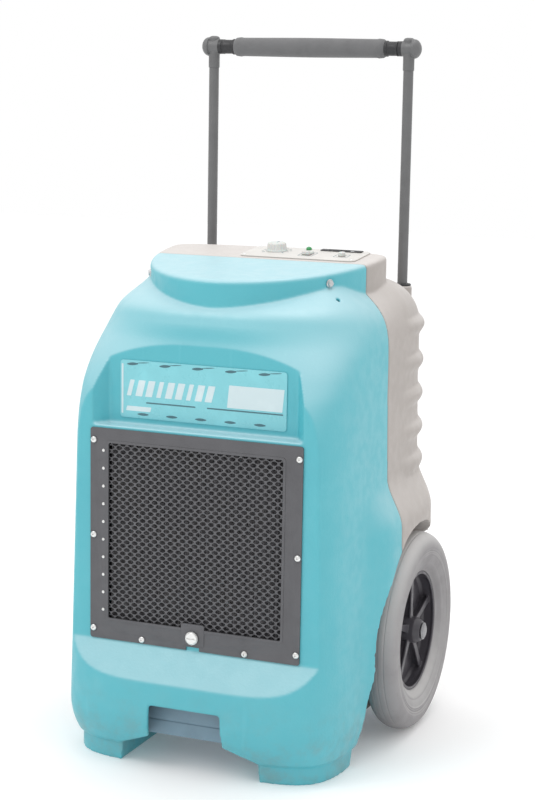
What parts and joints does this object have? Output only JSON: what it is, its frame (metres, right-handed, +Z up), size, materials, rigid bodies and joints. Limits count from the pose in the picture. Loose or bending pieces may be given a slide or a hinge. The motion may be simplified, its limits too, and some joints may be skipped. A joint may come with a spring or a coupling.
{
  "type": "dehumidifier",
  "caption": "Portable refrigerant dehumidifier with a two-part moulded housing, intake grille, pull handle and rear transport wheels.",
  "frame": {"origin": "on the floor, at the middle of the footprint", "axes": "+Z up, -Y towards the intake grille (front), +X to the right seen from the front"},
  "size_m": [0.5104, 0.5159, 1.0818],
  "materials": {
    "teal_housing": "moulded, satin, lightly textured",
    "sand_housing": "moulded, satin, lightly textured",
    "graphite_metal": "fine textured powder coat",
    "zinc_steel": "zinc plated",
    "nameplate_film": "printed film, gloss",
    "filter_fibre": "pleated charcoal fibre",
    "panel_plastic": "satin",
    "lamp_lens": "clear gloss",
    "black_plastic": "satin",
    "powder_coat": "satin powder coat",
    "grip_foam": "soft foam",
    "grey_tyre": "matt grey, non-marking",
    "chassis_coat": "satin",
    "aluminium_fins": "finned, matt",
    "compressor_enamel": "gloss enamel",
    "copper_tube": "drawn copper tube, slightly dulled",
    "brass_fitting": "machined",
    "pale_plastic": "moulded"
  },
  "bodies": {
    "housing": {"front_housing": "teal_housing", "rear_housing": "sand_housing", "grille_frame": "graphite_metal", "grille_mesh": "graphite_metal", "grille_screw_1": "zinc_steel", "grille_screw_2": "zinc_steel", "grille_screw_3": "zinc_steel", "grille_screw_4": "zinc_steel", "grille_screw_5": "zinc_steel", "grille_screw_6": "zinc_steel", "grille_screw_7": "zinc_steel", "grille_screw_8": "zinc_steel", "housing_bolt_left": "zinc_steel", "housing_bolt_right": "zinc_steel", "axle": "zinc_steel", "axle_cap_left": "zinc_steel", "axle_cap_right": "zinc_steel", "handle_guide_left": "zinc_steel", "handle_guide_right": "zinc_steel", "motor_bracket": "zinc_steel", "nameplate": "nameplate_film", "air_filter": "filter_fibre", "control_panel": "panel_plastic", "power_lamp": "lamp_lens", "hour_meter": "black_plastic", "handle_bush_left": "black_plastic", "handle_bush_right": "black_plastic", "exhaust_grille": "black_plastic", "power_inlet": "black_plastic", "fan_shroud": "black_plastic", "drip_tray": "black_plastic", "condensate_pump": "black_plastic", "base_frame": "chassis_coat", "electrical_box": "chassis_coat", "evaporator_coil": "aluminium_fins", "condenser_coil": "aluminium_fins", "compressor": "compressor_enamel", "fan_motor": "compressor_enamel", "filter_drier": "copper_tube", "suction_line": "copper_tube", "discharge_line": "copper_tube", "liquid_line": "copper_tube", "drain_outlet": "brass_fitting", "pump_reservoir": "pale_plastic"},
    "handle": {"handle_leg_left": "powder_coat", "handle_leg_right": "powder_coat", "handle_corner_left": "powder_coat", "handle_corner_right": "powder_coat", "handle_cross_bar": "powder_coat", "handle_grip": "grip_foam"},
    "wheel_left": {"tyre_left": "grey_tyre", "wheel_rim_left": "black_plastic"},
    "wheel_right": {"tyre_right": "grey_tyre", "wheel_rim_right": "black_plastic"},
    "fan": {"fan_blade": "black_plastic"},
    "latch": {"grille_latch_knob": "zinc_steel"},
    "switch": {"power_switch": "panel_plastic"},
    "humidistat": {"humidistat_knob": "panel_plastic"},
    "button": {"purge_button": "pale_plastic"},
    "float": {"pump_float": "pale_plastic"}
  },
  "joints": [
    {"name": "handle_slide", "type": "slide", "parent": "housing", "child": "handle", "axis": [0, 0, 1], "range_m": [-0.215, 0]},
    {"name": "wheel_left_spin", "type": "hinge", "parent": "housing", "child": "wheel_left", "pos_m": [-0.2285, 0.099, 0.157], "axis": [1, 0, 0], "continuous": true},
    {"name": "wheel_right_spin", "type": "hinge", "parent": "housing", "child": "wheel_right", "pos_m": [0.2285, 0.099, 0.157], "axis": [1, 0, 0], "continuous": true},
    {"name": "fan_spin", "type": "hinge", "parent": "housing", "child": "fan", "pos_m": [0, 0.146, 0.4], "axis": [0, 1, 0], "continuous": true},
    {"name": "latch_turn", "type": "hinge", "parent": "housing", "child": "latch", "pos_m": [0, -0.2285, 0.203], "axis": [0, -1, 0], "range_deg": [0, 90]},
    {"name": "switch_rock", "type": "hinge", "parent": "housing", "child": "switch", "pos_m": [0.062, 0.04969, 0.75072], "axis": [1, 0, 0], "range_deg": [0, 14]},
    {"name": "humidistat_turn", "type": "hinge", "parent": "housing", "child": "humidistat", "pos_m": [0.004, 0.06579, 0.75096], "axis": [0, -0.0896, 0.996], "range_deg": [0, 270]},
    {"name": "button_press", "type": "slide", "parent": "housing", "child": "button", "axis": [0, 0.0896, -0.996], "range_m": [0, 0.002], "stiffness_N_per_m": 300},
    {"name": "float_lift", "type": "slide", "parent": "housing", "child": "float", "axis": [0, 0, 1], "range_m": [0, 0.03]}
  ]
}
